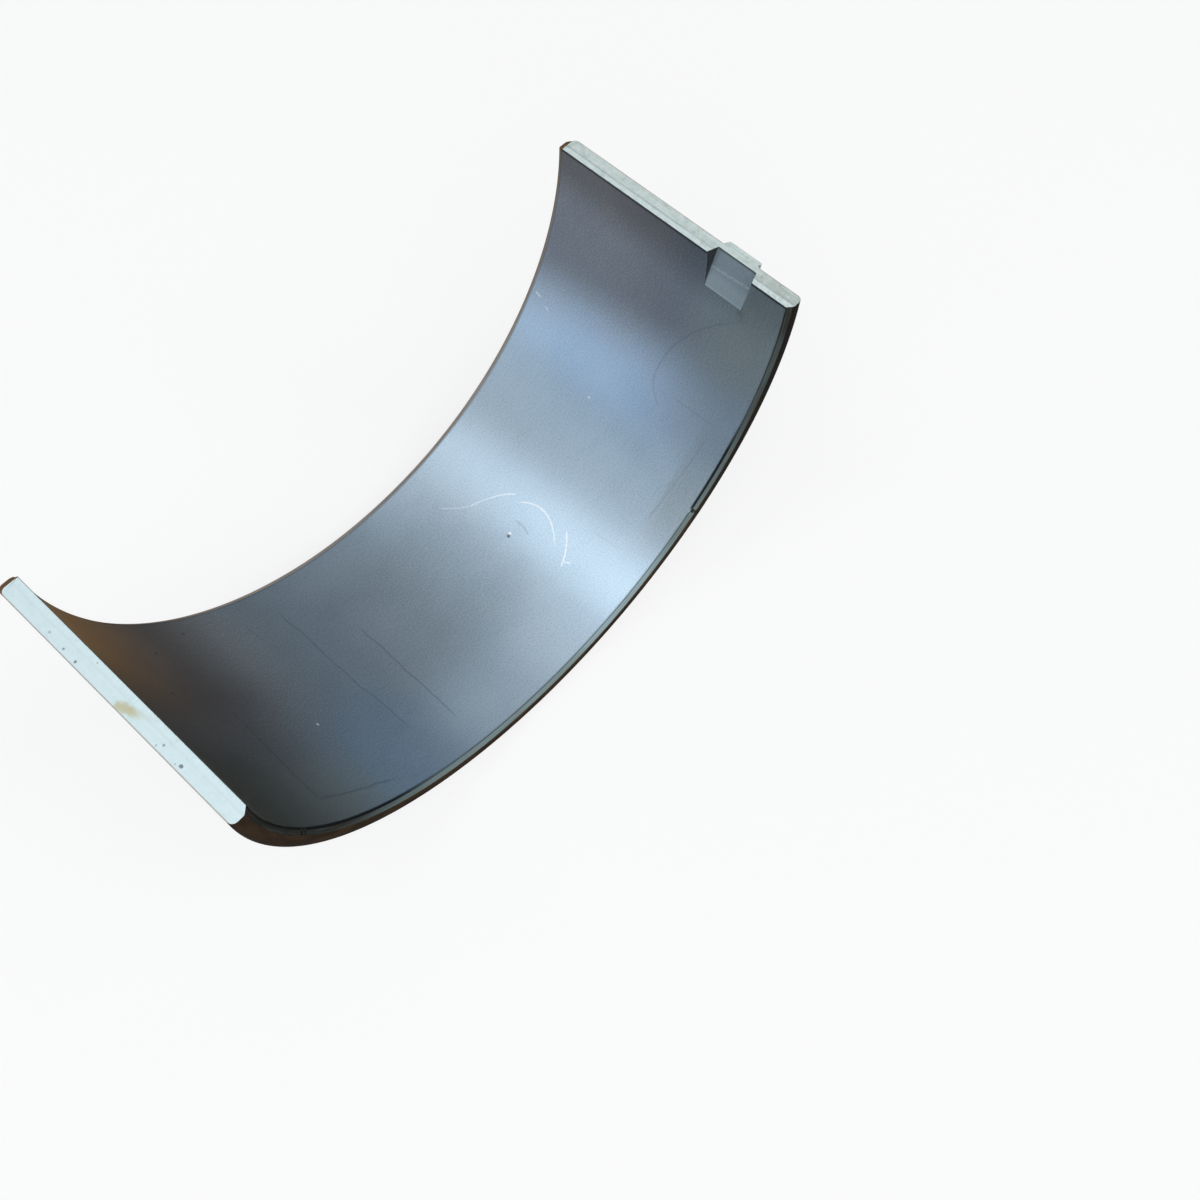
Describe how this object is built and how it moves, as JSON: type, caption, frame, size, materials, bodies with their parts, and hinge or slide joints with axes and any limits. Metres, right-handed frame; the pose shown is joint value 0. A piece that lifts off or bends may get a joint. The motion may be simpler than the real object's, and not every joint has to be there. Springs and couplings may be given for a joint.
{
  "type": "engine bearing shell",
  "caption": "Half-round plain bearing shell with a grey lined bore, chamfered ends, bright parting faces and an offset pressed locating lug.",
  "frame": {"origin": "on the bore axis, in the parting plane, half way along the width", "axes": "+Y along the bore axis, +Z out of the parting plane so the shell lies on its back with its hollow side up, +X toward the parting face that has the lug"},
  "size_m": [0.1281, 0.055, 0.0635],
  "materials": {
    "shell_metal": "satin slate-grey running surface, bright ground parting faces, darker oxidised ends and back"
  },
  "bodies": {
    "root": {"bearing_shell": "shell_metal"}
  },
  "joints": []
}
